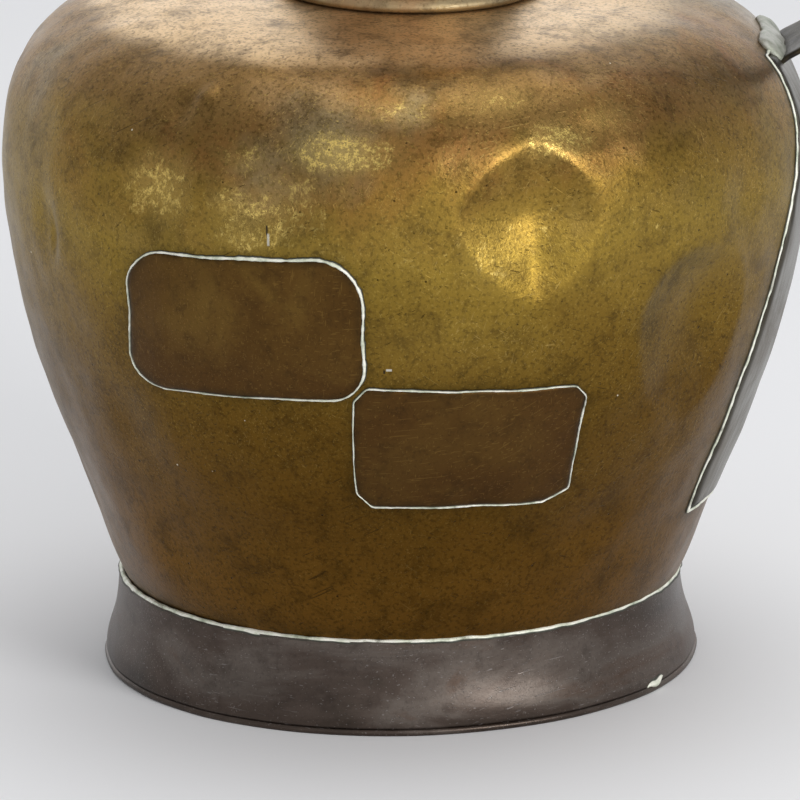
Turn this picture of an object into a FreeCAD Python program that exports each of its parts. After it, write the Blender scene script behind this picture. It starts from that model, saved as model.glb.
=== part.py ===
"""Hand-beaten copper and brass water jug: a round body on a soldered foot ring, with two soldered
patches on its front, a long soldered plate on its right side and a strap handle rising from that plate.

Millimetres, +Z up. The origin is the centre of the circle that the foot stands on. The handle is at +X,
the pouring lip at -X and the patched front faces -Y. Everything above the foot ring leans a little
towards the handle, because the body was soldered to its foot slightly out of true."""

import FreeCAD, Part
import math
import os

from FreeCAD import Vector

os.makedirs("parts", exist_ok=True)

# Driving dimensions
body_radius = 160.0
foot_height = 36.5
body_height = 238.0  # from the foot seam to the base of the neck
neck_height = 130.0  # from the base of the neck to the rim
body_wall = 1.5
sheet = 1.5  # thickness of the foot ring, the plates and the neck
patch_sheet = 1.0
solder_height = 1.4
body_lean = 1.5  # degrees towards the handle

# Sizes that follow from them
seam_radius = 0.697 * body_radius
neck_base = foot_height + body_height
rim_height = neck_base + neck_height
neck_radius = 0.30 * body_radius
up = Vector(0, 0, 1)
axis_start = Vector(0, 0, foot_height)

# Body outline: radius as a share of the largest radius, height above the seam as a share of the body's
body_outline = [
    (0.637, -0.040),
    (0.680, -0.018),
    (0.697, 0.000),
    (0.785, 0.154),
    (0.874, 0.308),
    (0.957, 0.500),
    (1.000, 0.706),
    (0.960, 0.859),
    (0.860, 0.938),
    (0.715, 0.981),
    (0.530, 0.996),
    (0.302, 1.000),
]

# Neck outline: radius as a share of its base radius, height above its base as a share of its height
neck_outline = [
    (1.000, -0.022),
    (0.960, 0.100),
    (0.850, 0.270),
    (0.800, 0.450),
    (0.850, 0.680),
    (1.010, 0.880),
    (1.170, 1.000),
]
lip_reach = 13.0  # how far the pouring lip is pulled out of the round rim
lip_start = 0.60  # share of the neck's height where the lip begins
lip_width = 0.42  # radians, half-width of the pulled-out part
rim_share = 0.999  # the neck's cross-sections end just inside the end of its outline

# Patch corners: place across the front as a share of the body's radius, height as in the body outline
left_patch_corners = [(-0.675, 0.670), (-0.112, 0.700), (-0.094, 0.456), (-0.656, 0.433)]
left_patch_rounding = [15.0, 18.0, 13.0, 15.0]
right_patch_corners = [
    (-0.091, 0.477),
    (0.412, 0.468),
    (0.438, 0.447),
    (0.416, 0.351),
    (0.400, 0.279),
    (0.338, 0.258),
    (-0.075, 0.260),
    (-0.112, 0.284),
    (-0.122, 0.342),
    (-0.122, 0.452),
]
left_bead_width = 1.3
right_bead_width = 1.0


def save(name, shape):
    """Writes one sub-part, in its place on the jug."""
    shape.exportStep("parts/" + name + ".step")


def lean(shape):
    """The shape tilted with the body, about the middle of the foot seam."""
    return shape.rotated(axis_start, Vector(0, 1, 0), body_lean)


def largest(shape):
    """The biggest solid of a cut, without the slivers beside it."""
    return max(shape.Solids, key=lambda solid: solid.Volume)


def outline_curve(points, offset):
    """A smooth curve through (radius, height) points in the XZ plane, moved outwards by offset."""
    curve = Part.BSplineCurve()
    curve.interpolate([Vector(r, 0, z) for r, z in points])
    if offset == 0:
        return curve
    steps = 36
    first, last = curve.FirstParameter, curve.LastParameter
    moved = []
    for i in range(steps + 1):
        u = first + (last - first) * i / steps
        along = curve.tangent(u)[0]
        moved.append(curve.value(u) + Vector(along.z, 0, -along.x) * offset)
    shifted = Part.BSplineCurve()
    shifted.interpolate(moved)
    return shifted


def band(points, inner, outer, start=0, sweep=360):
    """A solid turned between two offsets of an outline, from an angle of start degrees on from +X."""
    inside = outline_curve(points, inner).toShape()
    outside = outline_curve(points, outer).toShape()
    low = Part.makeLine(inside.valueAt(inside.FirstParameter), outside.valueAt(outside.FirstParameter))
    high = Part.makeLine(inside.valueAt(inside.LastParameter), outside.valueAt(outside.LastParameter))
    face = Part.Face(Part.Wire([low, outside, high, inside]))
    return face.rotated(Vector(0, 0, 0), up, start).revolve(Vector(0, 0, 0), up, sweep)


def front_band(points, inner, outer):
    """The part of a turned solid that faces -Y."""
    return band(points, inner, outer, -150, 120)


def side_band(points, inner, outer):
    """The part of a turned solid on the handle's side."""
    return band(points, inner, outer, -60, 120)


def turned(section):
    """A solid of revolution from a closed section of (radius, height) corners."""
    corners = [Vector(r, 0, z) for r, z in section]
    return Part.Face(Part.makePolygon(corners + corners[:1])).revolve(Vector(0, 0, 0), up, 360)


def rounded_wire(corners, radii):
    """A closed wire of straight sides with an arc of its own radius at each corner."""
    edges = []
    count = len(corners)
    ends = []
    for i, radius in enumerate(radii):
        here, before, after = corners[i], corners[i - 1], corners[(i + 1) % count]
        back = (before - here).normalize()
        on = (after - here).normalize()
        half = back.getAngle(on) / 2
        reach = radius / math.tan(half)
        middle = here + (back + on).normalize() * (radius / math.sin(half))
        bulge = middle - (back + on).normalize() * radius
        ends.append((here + back * reach, bulge, here + on * reach))
    for i, (start, bulge, end) in enumerate(ends):
        edges.append(Part.Arc(start, bulge, end).toShape())
        edges.append(Part.makeLine(end, ends[(i + 1) % count][0]))
    return Part.Wire(edges)


def front_prism(wire):
    """An outline drawn in the XZ plane, extended through the front half of the body."""
    return Part.Face(wire).extrude(Vector(0, -2 * body_radius, 0))


def side_prism(wire):
    """An outline drawn in the YZ plane, extended through the handle half of the body."""
    return Part.Face(wire).extrude(Vector(2 * body_radius, 0, 0))


def on_front(corners):
    """Patch corners as points in the XZ plane."""
    return [Vector(x * body_radius, 0, foot_height + h * body_height) for x, h in corners]


def soldered_patch(outline, bead):
    """A patch that hugs the body and the solder bead around it."""
    patch = front_band(body_points, 0, patch_sheet).common(front_prism(outline))
    frame = front_prism(outline.makeOffset2D(bead)).cut(front_prism(outline))
    return largest(patch), front_band(body_points, 0, solder_height).common(frame)


def plate_half_width(z):
    """Half the width of the handle's back plate, which widens downwards and narrows again at its foot."""
    share = (z - plate_low) / (plate_high - plate_low)
    return body_radius * (0.35 + 0.26 * share - 0.42 * share * share)


body_points = [(r * body_radius, foot_height + h * body_height) for r, h in body_outline]
neck_points = [(r * neck_radius, neck_base + h * neck_height) for r, h in neck_outline]

# Body and its base
body_shell = band(body_points, -body_wall, 0)
full_body = band(body_points, -body_points[-1][0] + 0.5, 0).fuse(
    Part.makeCylinder(body_points[0][0] - 1, body_height, Vector(0, 0, foot_height))
)
base_radius = body_points[0][0]
base_top = body_points[0][1]
base_plate = Part.makeCylinder(base_radius + 1.0, sheet, Vector(0, 0, base_top - sheet))
base_plate = base_plate.cut(body_shell)
base_bead_width, base_bead_height = 5.0, 3.0
ring_inside = base_radius - body_wall - 0.5
base_plate_solder = turned([
    (ring_inside, base_top),
    (ring_inside - base_bead_width, base_top),
    (ring_inside, base_top + base_bead_height),
]).cut(body_shell)
save("body_shell", lean(body_shell))
save("base_plate", lean(largest(base_plate)))
save("base_plate_solder", lean(largest(base_plate_solder)))

# Foot ring: a band that is hollow under the seam and bulges lower down, with a rolled edge
edge_wire_radius = 1.5
edge_wear = 0.3  # the rolled edge is worn flat where it stands
foot_outline = [
    (1.011 * seam_radius, foot_height),
    (1.018 * seam_radius, 0.74 * foot_height),
    (1.044 * seam_radius, 0.42 * foot_height),
    (1.062 * seam_radius, 0.18 * foot_height),
    (1.064 * seam_radius, 2 * edge_wire_radius - edge_wear),
]
foot_outline.reverse()
leaned_body = lean(full_body)
foot_ring = band(foot_outline, -sheet, 0).cut(leaned_body)
wire_ring_radius = foot_outline[0][0] - sheet / 2
wire_middle = Vector(0, 0, edge_wire_radius - edge_wear)
worn_off = Part.makeCylinder(body_radius, 2 * edge_wire_radius, Vector(0, 0, -2 * edge_wire_radius))
foot_edge_wire = Part.makeTorus(wire_ring_radius, edge_wire_radius, wire_middle)
foot_edge_wire = foot_edge_wire.cut(foot_ring).cut(worn_off)
save("foot_ring", largest(foot_ring))
save("foot_edge_wire", largest(foot_edge_wire))

# The pale line of solder that fills the corner between the foot ring and the body
seam_low, seam_high = foot_height - 0.9, foot_height + solder_height
seam_inside, seam_outside = seam_radius - 3.2, seam_radius + 2.2
foot_solder = turned([
    (seam_inside, seam_low),
    (seam_outside, seam_low),
    (seam_outside - 0.3, seam_low + sheet),
    (seam_radius - solder_height, seam_high),
    (seam_inside, seam_high),
])
foot_solder = foot_solder.cut(leaned_body).cut(foot_ring)
save("foot_solder_seam", largest(foot_solder))

# A run of solder that dripped onto the bottom edge of the foot, at the front right
drip_angle = math.radians(-32)
drip_radius, drip_length, drip_z = 1.2, 8.0, 3.2
drip_place = wire_ring_radius + edge_wire_radius + 0.3
drip_start = Vector(drip_place * math.cos(drip_angle), drip_place * math.sin(drip_angle), drip_z)
drip_direction = Vector(-math.sin(drip_angle), math.cos(drip_angle), 0)
drip = Part.makeCylinder(drip_radius, drip_length, drip_start, drip_direction)
save("foot_solder_drip", largest(drip.cut(foot_ring).cut(foot_edge_wire)))

# The two patches on the front, in the body's own upright frame
left_outline = rounded_wire(on_front(left_patch_corners), left_patch_rounding)
right_outline = Part.makePolygon(on_front(right_patch_corners + right_patch_corners[:1]))
patch_left, patch_left_solder = soldered_patch(left_outline, left_bead_width)
patch_right, patch_right_solder = soldered_patch(right_outline, right_bead_width)
left_patch_work = patch_left.fuse(patch_left_solder)
patch_right = patch_right.cut(left_patch_work)
patch_right_solder = patch_right_solder.cut(left_patch_work).cut(patch_right)
save("patch_left", lean(patch_left))
save("patch_left_solder", lean(largest(patch_left_solder)))
save("patch_right", lean(largest(patch_right)))
save("patch_right_solder", lean(largest(patch_right_solder)))

# Handle back plate: a long tinned plate down the side of the body, with solder along its edges
plate_low, plate_high = 0.48 * body_radius, neck_base - 21.5
plate_bead_width = 1.3


def plate_outline(margin):
    """The back plate's outline, grown by a margin on every side."""
    heights = [plate_low + (plate_high - plate_low) * i / 5 for i in range(6)]
    widths = [plate_half_width(z) + margin for z in heights]
    heights[0] -= margin
    heights[-1] += margin
    sides = []
    for direction in (1, -1):
        side = Part.BSplineCurve()
        side.interpolate([Vector(0, direction * w, z) for w, z in zip(widths, heights)])
        sides.append(side.toShape())
    foot = Part.makeLine(Vector(0, -widths[0], heights[0]), Vector(0, widths[0], heights[0]))
    top = Part.makeLine(Vector(0, widths[-1], heights[-1]), Vector(0, -widths[-1], heights[-1]))
    return side_prism(Part.Wire([foot, sides[0], top, sides[1]]))


back_plate = side_band(body_points, 0, sheet).common(plate_outline(0))
back_plate_solder = side_band(body_points, 0, solder_height).common(plate_outline(plate_bead_width))
back_plate_solder = back_plate_solder.cut(plate_outline(0))
save("handle_back_plate", lean(largest(back_plate)))
save("back_plate_solder", lean(largest(back_plate_solder)))


def rim_shape(share, offset):
    """The neck's cross-section at a share of its height: round, with the pouring lip pulled out at -X."""
    height = neck_base + share * neck_height
    level = Part.LineSegment(Vector(0, 0, height), Vector(body_radius, 0, height))
    middle = neck_curve.intersectCC(level)[0].X
    growth = max(0.0, (share - lip_start) / (1 - lip_start)) ** 2
    points = []
    steps = 40
    for i in range(steps):
        angle = 2 * math.pi * i / steps
        from_lip = abs(math.pi - angle)
        pulled = lip_reach * growth * math.exp(-((from_lip / lip_width) ** 2))
        radius = middle + offset + pulled
        points.append(Vector(radius * math.cos(angle), radius * math.sin(angle), height))
    curve = Part.BSplineCurve()
    curve.interpolate(points, PeriodicFlag=True)
    return Part.Wire(curve.toShape())


# Neck: a waisted tube that flares to the rim, with a collar at its base and a band round its rim
neck_curve = outline_curve(neck_points, 0)
neck_shares = [-0.02, 0.1, 0.25, 0.4, 0.55, 0.7, 0.85, 0.93, rim_share]
outer_neck = Part.makeLoft([rim_shape(share, 0) for share in neck_shares], True)
inner_neck = Part.makeLoft([rim_shape(share, -sheet) for share in neck_shares], True)
neck = outer_neck.cut(inner_neck)
save("neck", lean(neck))

collar_height, collar_width = 6.0, 6.0
collar_shape = [(0, 0), (0.83, 0), (1, 0.23), (0.93, 0.53), (0.67, 0.80), (0, 0.97)]
collar_base = neck_base + 0.4
collar_outline = [(neck_radius + x * collar_width, collar_base + y * collar_height) for x, y in collar_shape]
neck_collar = turned(collar_outline).cut(outer_neck).cut(full_body)
save("neck_collar", lean(largest(neck_collar)))

rim_band_height, rim_band_width = 5.0, 2.2
rim_low = 1 - rim_band_height / neck_height
rim_outside = Part.makeLoft([rim_shape(share, rim_band_width) for share in (rim_low, rim_share)], True)
save("rim_band", lean(largest(rim_outside.cut(outer_neck))))

# Strap handle: a flat strap from the top of the back plate, out and over to the neck below its rim
strap_thickness = 2.6
root_half_width, grip_half_width = 24.0, 18.5
strap_taper_height = 55.0  # the strap narrows over this height above its root
saddle_sheet, saddle_half_width = 1.6, 24.0
root_solder_thickness, root_solder_height = 3.5, 10.0
end_solder_thickness, end_solder_half_width = 3.0, 17.0
pad_rounding = 3.0
gap = 0.1
root_z = neck_base - 28.0
strap_end_z = neck_base + 0.60 * neck_height
strap_path = [
    (0.900 * body_radius, root_z + 1.2),
    (0.940 * body_radius, root_z + 3.9),
    (0.964 * body_radius, root_z + 6.4),
    (1.030 * body_radius, root_z + 13.0),
    (1.120 * body_radius, root_z + 24.5),
    (1.210 * body_radius, root_z + 45.0),
    (1.245 * body_radius, root_z + 75.0),
    (1.190 * body_radius, root_z + 106.0),
    (1.040 * body_radius, root_z + 130.0),
    (0.820 * body_radius, root_z + 139.0),
    (0.590 * body_radius, root_z + 133.0),
    (0.400 * body_radius, root_z + 120.0),
    (0.302 * body_radius, strap_end_z + 5.0),
    (0.271 * body_radius, strap_end_z - 4.0),
]


def handle_pad(surface, inner, outer, low, high, half_width):
    """A pad that hugs a turned surface on the handle's side."""
    corners = [
        Vector(0, -half_width, low), Vector(0, half_width, low),
        Vector(0, half_width, high), Vector(0, -half_width, high),
    ]
    outline = rounded_wire(corners, [pad_rounding] * len(corners))
    return largest(side_band(surface, inner, outer).common(side_prism(outline)))


strap_edges = [outline_curve(strap_path, side * strap_thickness / 2).toShape() for side in (-1, 1)]
strap_ends = []
for parameter in ("FirstParameter", "LastParameter"):
    corner_pair = [edge.valueAt(getattr(edge, parameter)) for edge in strap_edges]
    strap_ends.append(Part.makeLine(*corner_pair))
strap_face = Part.Face(Part.Wire([strap_ends[0], strap_edges[1], strap_ends[1], strap_edges[0]]))
strap = strap_face.extrude(Vector(0, 2 * root_half_width, 0))
strap.translate(Vector(0, -root_half_width, 0))
strap_widths = [
    (root_half_width, root_z - 20),
    (root_half_width, root_z + 4),
    (grip_half_width, root_z + strap_taper_height),
    (grip_half_width, rim_height),
]
strap_outline = [Vector(0, w, z) for w, z in strap_widths] + [Vector(0, -w, z) for w, z in strap_widths[::-1]]
strap = strap.common(side_prism(Part.makePolygon(strap_outline + strap_outline[:1])))
root_pad = handle_pad(
    body_points, sheet + gap, sheet + gap + strap_thickness, root_z - 2, root_z + 4.5, root_half_width
)
saddle_top = gap + saddle_sheet
saddle = handle_pad(neck_points, gap, saddle_top, strap_end_z - 24, strap_end_z + 14, saddle_half_width)
end_pad = handle_pad(
    neck_points,
    saddle_top + gap,
    saddle_top + gap + strap_thickness,
    strap_end_z - 19,
    strap_end_z + 3,
    grip_half_width,
)
body_work = back_plate.fuse(full_body)
neck_work = saddle.fuse(outer_neck)
strap = strap.cut(body_work).cut(neck_work).fuse(root_pad).fuse(end_pad).removeSplitter()
root_solder = handle_pad(
    body_points,
    0,
    sheet + root_solder_thickness,
    root_z + 1,
    root_z + 1 + root_solder_height,
    root_half_width + 1,
)
end_solder = handle_pad(
    neck_points,
    saddle_top,
    saddle_top + end_solder_thickness,
    strap_end_z - 1,
    strap_end_z + 8,
    end_solder_half_width,
)
save("handle_strap", lean(largest(strap)))
root_solder = root_solder.cut(strap).cut(back_plate).cut(back_plate_solder)
save("handle_root_solder", lean(largest(root_solder)))
save("handle_top_saddle", lean(saddle))
save("handle_top_solder", lean(largest(end_solder.cut(strap))))
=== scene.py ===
import math
from collections import namedtuple

import bpy
import numpy as np
from mathutils import Euler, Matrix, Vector


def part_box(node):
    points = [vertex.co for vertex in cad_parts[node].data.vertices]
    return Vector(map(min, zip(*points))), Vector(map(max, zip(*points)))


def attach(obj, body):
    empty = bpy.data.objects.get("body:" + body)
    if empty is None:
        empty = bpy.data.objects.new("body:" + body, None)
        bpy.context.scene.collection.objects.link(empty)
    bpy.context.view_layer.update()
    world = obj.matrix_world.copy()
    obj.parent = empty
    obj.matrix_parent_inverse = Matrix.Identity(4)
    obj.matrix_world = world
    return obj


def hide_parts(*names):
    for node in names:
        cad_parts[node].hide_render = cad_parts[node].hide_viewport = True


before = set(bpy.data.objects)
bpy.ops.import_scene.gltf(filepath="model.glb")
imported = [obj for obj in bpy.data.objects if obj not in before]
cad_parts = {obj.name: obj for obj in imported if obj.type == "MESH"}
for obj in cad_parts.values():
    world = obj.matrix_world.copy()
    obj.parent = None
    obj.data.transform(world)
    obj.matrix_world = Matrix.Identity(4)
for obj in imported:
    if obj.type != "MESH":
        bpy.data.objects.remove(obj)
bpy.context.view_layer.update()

# ---------------------------------------------------------------- sizes, from the frame
body_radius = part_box("body_shell")[1].y
mm = body_radius / 160.0
foot_height = 36.5 * mm
body_height = 238.0 * mm
neck_height = 130.0 * mm
neck_base = foot_height + body_height
neck_radius = 0.30 * body_radius
seam_radius = 0.697 * body_radius
wall = 1.5 * mm
sheet = 1.5 * mm
patch_sheet = 1.0 * mm
body_lean = math.radians(1.5)

body_outline = np.array([
    (0.637, -0.040), (0.680, -0.018), (0.697, 0.000), (0.785, 0.154), (0.874, 0.308), (0.957, 0.500),
    (1.000, 0.706), (0.960, 0.859), (0.860, 0.938), (0.715, 0.981), (0.530, 0.996), (0.302, 1.000),
]) * (body_radius, body_height) + (0, foot_height)
neck_outline = np.array([
    (1.000, -0.022), (0.960, 0.100), (0.850, 0.270), (0.800, 0.450), (0.850, 0.680), (1.010, 0.880),
    (1.170, 1.000),
]) * (neck_radius, neck_height) + (0, neck_base)
foot_outline = np.array([
    (1.064, 2.7), (1.062, 6.6), (1.044, 15.3), (1.018, 27.0), (1.011, 36.5),
]) * (seam_radius, mm)


# ---------------------------------------------------------------- curves and surfaces
def smooth_curve(points, count):
    """Points evenly spaced along the natural cubic spline through the given points."""
    points = np.asarray(points, float)
    steps = np.linalg.norm(np.diff(points, axis=0), axis=1)
    knots = np.concatenate([[0], np.cumsum(steps)])
    n = len(points)
    matrix = np.eye(n)
    right = np.zeros_like(points)
    for i in range(1, n - 1):
        matrix[i, i - 1:i + 2] = steps[i - 1], 2 * (steps[i - 1] + steps[i]), steps[i]
        slope_on = (points[i + 1] - points[i]) / steps[i]
        slope_back = (points[i] - points[i - 1]) / steps[i - 1]
        right[i] = 6 * (slope_on - slope_back)
    bend = np.linalg.solve(matrix, right)
    t = np.linspace(0, knots[-1], 12 * count)
    i = np.clip(np.searchsorted(knots, t, side="right") - 1, 0, n - 2)
    h = steps[i][:, None]
    a = (knots[i + 1] - t)[:, None] / h
    b = 1 - a
    fine = a * points[i] + b * points[i + 1]
    fine += ((a ** 3 - a) * bend[i] + (b ** 3 - b) * bend[i + 1]) * h * h / 6
    return evenly(fine, count)


def evenly(points, count):
    """The same polyline with its points evenly spaced."""
    lengths = np.concatenate([[0], np.cumsum(np.linalg.norm(np.diff(points, axis=0), axis=1))])
    where = np.linspace(0, lengths[-1], count)
    return np.stack([np.interp(where, lengths, column) for column in points.T], axis=1)


def outward(outline):
    """Unit normals of an outline of (radius, height) points that runs upwards."""
    along = np.gradient(outline, axis=0)
    return unit(np.stack([along[:, 1], -along[:, 0]], axis=1))


def waves(points, longest, shortest, count, seed):
    """A smooth random field from crossed waves, about -1 to 1, over points in space."""
    draw = np.random.default_rng(seed)
    total = np.zeros(points.shape[:-1])
    for _ in range(count):
        direction = draw.normal(size=3)
        direction /= np.linalg.norm(direction)
        length = longest * (shortest / longest) ** draw.random()
        total += np.sin(points @ direction * (2 * math.pi / length) + draw.random() * 2 * math.pi)
    return total / math.sqrt(count)


def unit(vectors):
    """The same vectors, each one long."""
    return vectors / np.linalg.norm(vectors, axis=-1, keepdims=True)


def turn_from(angle, centre):
    """How far an angle is from a centre angle, from minus half a turn to half a turn."""
    return (angle - centre + math.pi) % (2 * math.pi) - math.pi


def lean(points):
    """Points tilted with the body, about the middle of the foot seam."""
    c, s = math.cos(body_lean), math.sin(body_lean)
    x, y, z = np.moveaxis(points, -1, 0)
    up = z - foot_height
    return np.stack([x * c + up * s, y, foot_height - x * s + up * c], axis=-1)


# A dent: angle from the front towards the handle, height, its reach left, right, up and down in mm, its
# depth in mm, the power of its outline (1 is a diamond, 2 an ellipse), and how soft its edge is
Dent = namedtuple("Dent", "angle height left right above below depth power softness")
dents = [Dent(*sizes) for sizes in (
    (18.5, 219.0, 34, 28, 27, 36, 9.5, 1.4, 1.0),
    (-18.5, 221.0, 25, 24, 20, 16, 5.4, 1.9, 1.0),
    (-37.5, 220.0, 22, 20, 24, 20, 3.4, 2.0, 1.3),
    (-33.0, 256.0, 7, 6, 6, 5, -1.1, 2.0, 1.4),
    (-36.5, 251.0, 12, 10, 9, 8, 1.8, 2.0, 1.4),
    (-60.0, 191.0, 4, 5, 14, 12, 1.4, 2.0, 1.3),
    (-62.0, 196.0, 14, 14, 22, 26, 1.8, 2.0, 1.6),
    (47.0, 170.0, 32, 30, 28, 46, 6.4, 1.9, 1.0),
    (56.0, 212.0, 16, 18, 20, 14, 1.8, 2.0, 1.5),
    (-17.8, 209.5, 2.0, 2.0, 6, 6, 0.9, 2.0, 1.1),
    (2.0, 175.0, 34, 30, 18, 20, 1.2, 2.0, 1.8),
    (-6.0, 243.0, 24, 28, 9, 9, 1.3, 2.0, 1.6),
    (27.0, 249.0, 18, 18, 9, 9, 1.4, 2.0, 1.5),
    (-48.0, 120.0, 26, 30, 28, 30, 1.6, 2.0, 1.8),
    (34.0, 84.0, 30, 28, 20, 22, 1.4, 2.0, 1.8),
    (128.0, 200.0, 28, 24, 26, 30, 4.4, 1.7, 1.2),
    (152.0, 236.0, 20, 26, 14, 16, 2.4, 2.0, 1.5),
    (176.0, 172.0, 34, 30, 26, 30, 4.0, 1.8, 1.3),
    (205.0, 214.0, 22, 24, 20, 24, 3.6, 1.7, 1.2),
    (228.0, 150.0, 26, 24, 30, 24, 2.6, 2.0, 1.5),
    (246.0, 226.0, 22, 20, 18, 18, 2.8, 2.0, 1.4),
    (264.0, 188.0, 24, 26, 24, 26, 2.2, 2.0, 1.6),
    (142.0, 116.0, 28, 26, 24, 22, 2.0, 2.0, 1.7),
    (192.0, 92.0, 26, 30, 20, 20, 1.6, 2.0, 1.7),
)]
dent_roundness = 0.42  # how wide the rounded bottom of a dent is, as a share of its reach


# Dents whose upper edge gets painted shade, partly tarnish: which dent, towards which side of it (right,
# up), how much
dent_shade_and_tarnish = [(0, (0.35, 0.94), 0.30), (1, (0.10, 0.99), 0.25), (7, (-0.70, 0.71), 0.75)]

# Ripples of the beaten sheet: height in mm, longest and shortest wave in m, number of waves, seed
ripples = [(0.55, 0.11, 0.05, 14, 3), (0.16, 0.034, 0.018, 20, 4), (0.035, 0.013, 0.008, 24, 5)]


def from_centre(angle, height, dent):
    """How far a place is from a dent's middle, where 1 is the dent's edge."""
    across = turn_from(angle, math.radians(dent.angle)) * body_radius / mm
    climb = height / mm - dent.height
    a = np.abs(across / np.where(across < 0, dent.left, dent.right))
    b = np.abs(climb / np.where(climb < 0, dent.below, dent.above))
    return (a ** dent.power + b ** dent.power) ** (1 / dent.power)


def beaten(angle, height, points):
    """How far the body's surface stands out from its smooth outline: dents, waves and hammer marks."""
    out = np.zeros(np.broadcast(angle, height).shape)
    rim = math.hypot(1, dent_roundness)
    for dent in dents:
        away = np.hypot(from_centre(angle, height, dent), dent_roundness)
        inside = np.clip((rim - away) / (rim - dent_roundness), 0, 1)
        out -= dent.depth * mm * inside ** dent.softness
    calm = np.clip((height - foot_height) / (20 * mm), 0, 1)
    calm = calm * np.clip((neck_base - 1 * mm - height) / (4 * mm), 0.15, 1)
    for size, longest, shortest, count, seed in ripples:
        out += size * mm * waves(points, longest, shortest, count, seed) * calm
    return out


def around(angle, radius, height):
    """Points on circles about the jug's axis; the angle runs from the front towards the handle."""
    return np.stack([radius * np.sin(angle), -radius * np.cos(angle), height + 0 * angle], axis=-1)


body_curve = smooth_curve(body_outline, 900)
body_normal = outward(body_curve)
below_shoulder = body_curve[:, 1] < neck_base - 8 * mm


def on_body(angle, height, offset):
    """Points that stand a given offset off the dented body, below its flat shoulder."""
    heights = body_curve[below_shoulder, 1]
    radius = np.interp(height, heights, body_curve[below_shoulder, 0])
    out = np.interp(height, heights, body_normal[below_shoulder, 0])
    up = np.interp(height, heights, body_normal[below_shoulder, 1])
    off = offset + beaten(angle, height, around(angle, radius, height))
    return around(angle, radius + out * off, height + up * off)


def body_radius_at(height):
    return np.interp(height, body_curve[below_shoulder, 1], body_curve[below_shoulder, 0])


def path_on_body(angle, height, offset):
    """A line on the body at a given offset, and the outward direction at each of its points."""
    path = on_body(angle, height, offset)
    return path, unit(on_body(angle, height, offset + 1 * mm) - path)


# ---------------------------------------------------------------- meshes
def grid_faces(rows, columns, closed_rows, closed_columns):
    """Quads between the points of a grid that is numbered row by row."""
    r = np.arange(rows if closed_rows else rows - 1)
    c = np.arange(columns if closed_columns else columns - 1)
    r, c = np.meshgrid(r, c, indexing="ij")
    r2, c2 = (r + 1) % rows, (c + 1) % columns
    corners = [r * columns + c, r * columns + c2, r2 * columns + c2, r2 * columns + c]
    return np.stack(corners, axis=-1).reshape(-1, 4)


def turned_grid(section, count):
    """Angles, radii and heights of a section's (radius, height) points, turned round the axis."""
    turn = np.linspace(0, 2 * math.pi, count, endpoint=False)
    return np.broadcast_arrays(turn[None], section[:, :1], section[:, 1:])


def make_piece(name, node, slot, material, points, faces, **attributes):
    """One closed visible piece in place of a CAD node, riding on the jug's one body."""
    points = points.reshape(-1, 3)
    a, b, c, d = (points[faces[:, i]] for i in range(4))
    volume = np.einsum("ij,ij->", a, np.cross(b, c)) + np.einsum("ij,ij->", a, np.cross(c, d))
    if volume < 0:
        faces = faces[:, ::-1]
    mesh = bpy.data.meshes.new(name)
    mesh.from_pydata(points.tolist(), [], faces.tolist())
    mesh.polygons.foreach_set("use_smooth", [True] * len(mesh.polygons))
    for key, values in attributes.items():
        layer = mesh.attributes.new(key, "FLOAT", "POINT")
        layer.data.foreach_set("value", np.asarray(values, np.float32).ravel())
    mesh.materials.append(material)
    mesh.validate()
    piece = bpy.data.objects.new(name, mesh)
    bpy.context.scene.collection.objects.link(piece)
    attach(piece, "root")
    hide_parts(node)
    return piece


def shell_rows(curve, outer_rows, inner_rows, thickness):
    """Rows of a turned sheet, up its outside and down its inside, with their normals and offsets."""
    normal = outward(curve)
    up = np.linspace(0, len(curve) - 1, outer_rows).round().astype(int)
    down = np.linspace(len(curve) - 1, 0, inner_rows).round().astype(int)
    rows = np.concatenate([up, down])
    offset = np.concatenate([np.zeros(outer_rows), np.full(inner_rows, -thickness)])
    return curve[rows], normal[rows], offset


def four_sided_grid(loop, across, climb):
    """A grid of quads that fills a closed four-sided outline, from its four sides."""
    low, high = loop.min(axis=0), loop.max(axis=0)
    corners = [low, (high[0], low[1]), high, (low[0], high[1])]
    starts = [int(np.argmin(np.linalg.norm(loop - corner, axis=1))) for corner in corners]
    loop = np.roll(loop, -starts[0], axis=0)
    starts = [(s - starts[0]) % len(loop) for s in starts]
    closed = np.concatenate([loop, loop[:1]])
    bottom = evenly(closed[starts[0]:starts[1] + 1], across)
    right = evenly(closed[starts[1]:starts[2] + 1], climb)
    top = evenly(closed[starts[2]:starts[3] + 1], across)[::-1]
    left = evenly(closed[starts[3]:], climb)[::-1]
    u = np.linspace(0, 1, across)[None, :, None]
    v = np.linspace(0, 1, climb)[:, None, None]
    sides = (1 - v) * bottom[None] + v * top[None] + (1 - u) * left[:, None] + u * right[:, None]
    corner_mix = (1 - u) * (1 - v) * bottom[0] + u * (1 - v) * bottom[-1]
    corner_mix = corner_mix + u * v * top[-1] + (1 - u) * v * top[0]
    return sides - corner_mix


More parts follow.
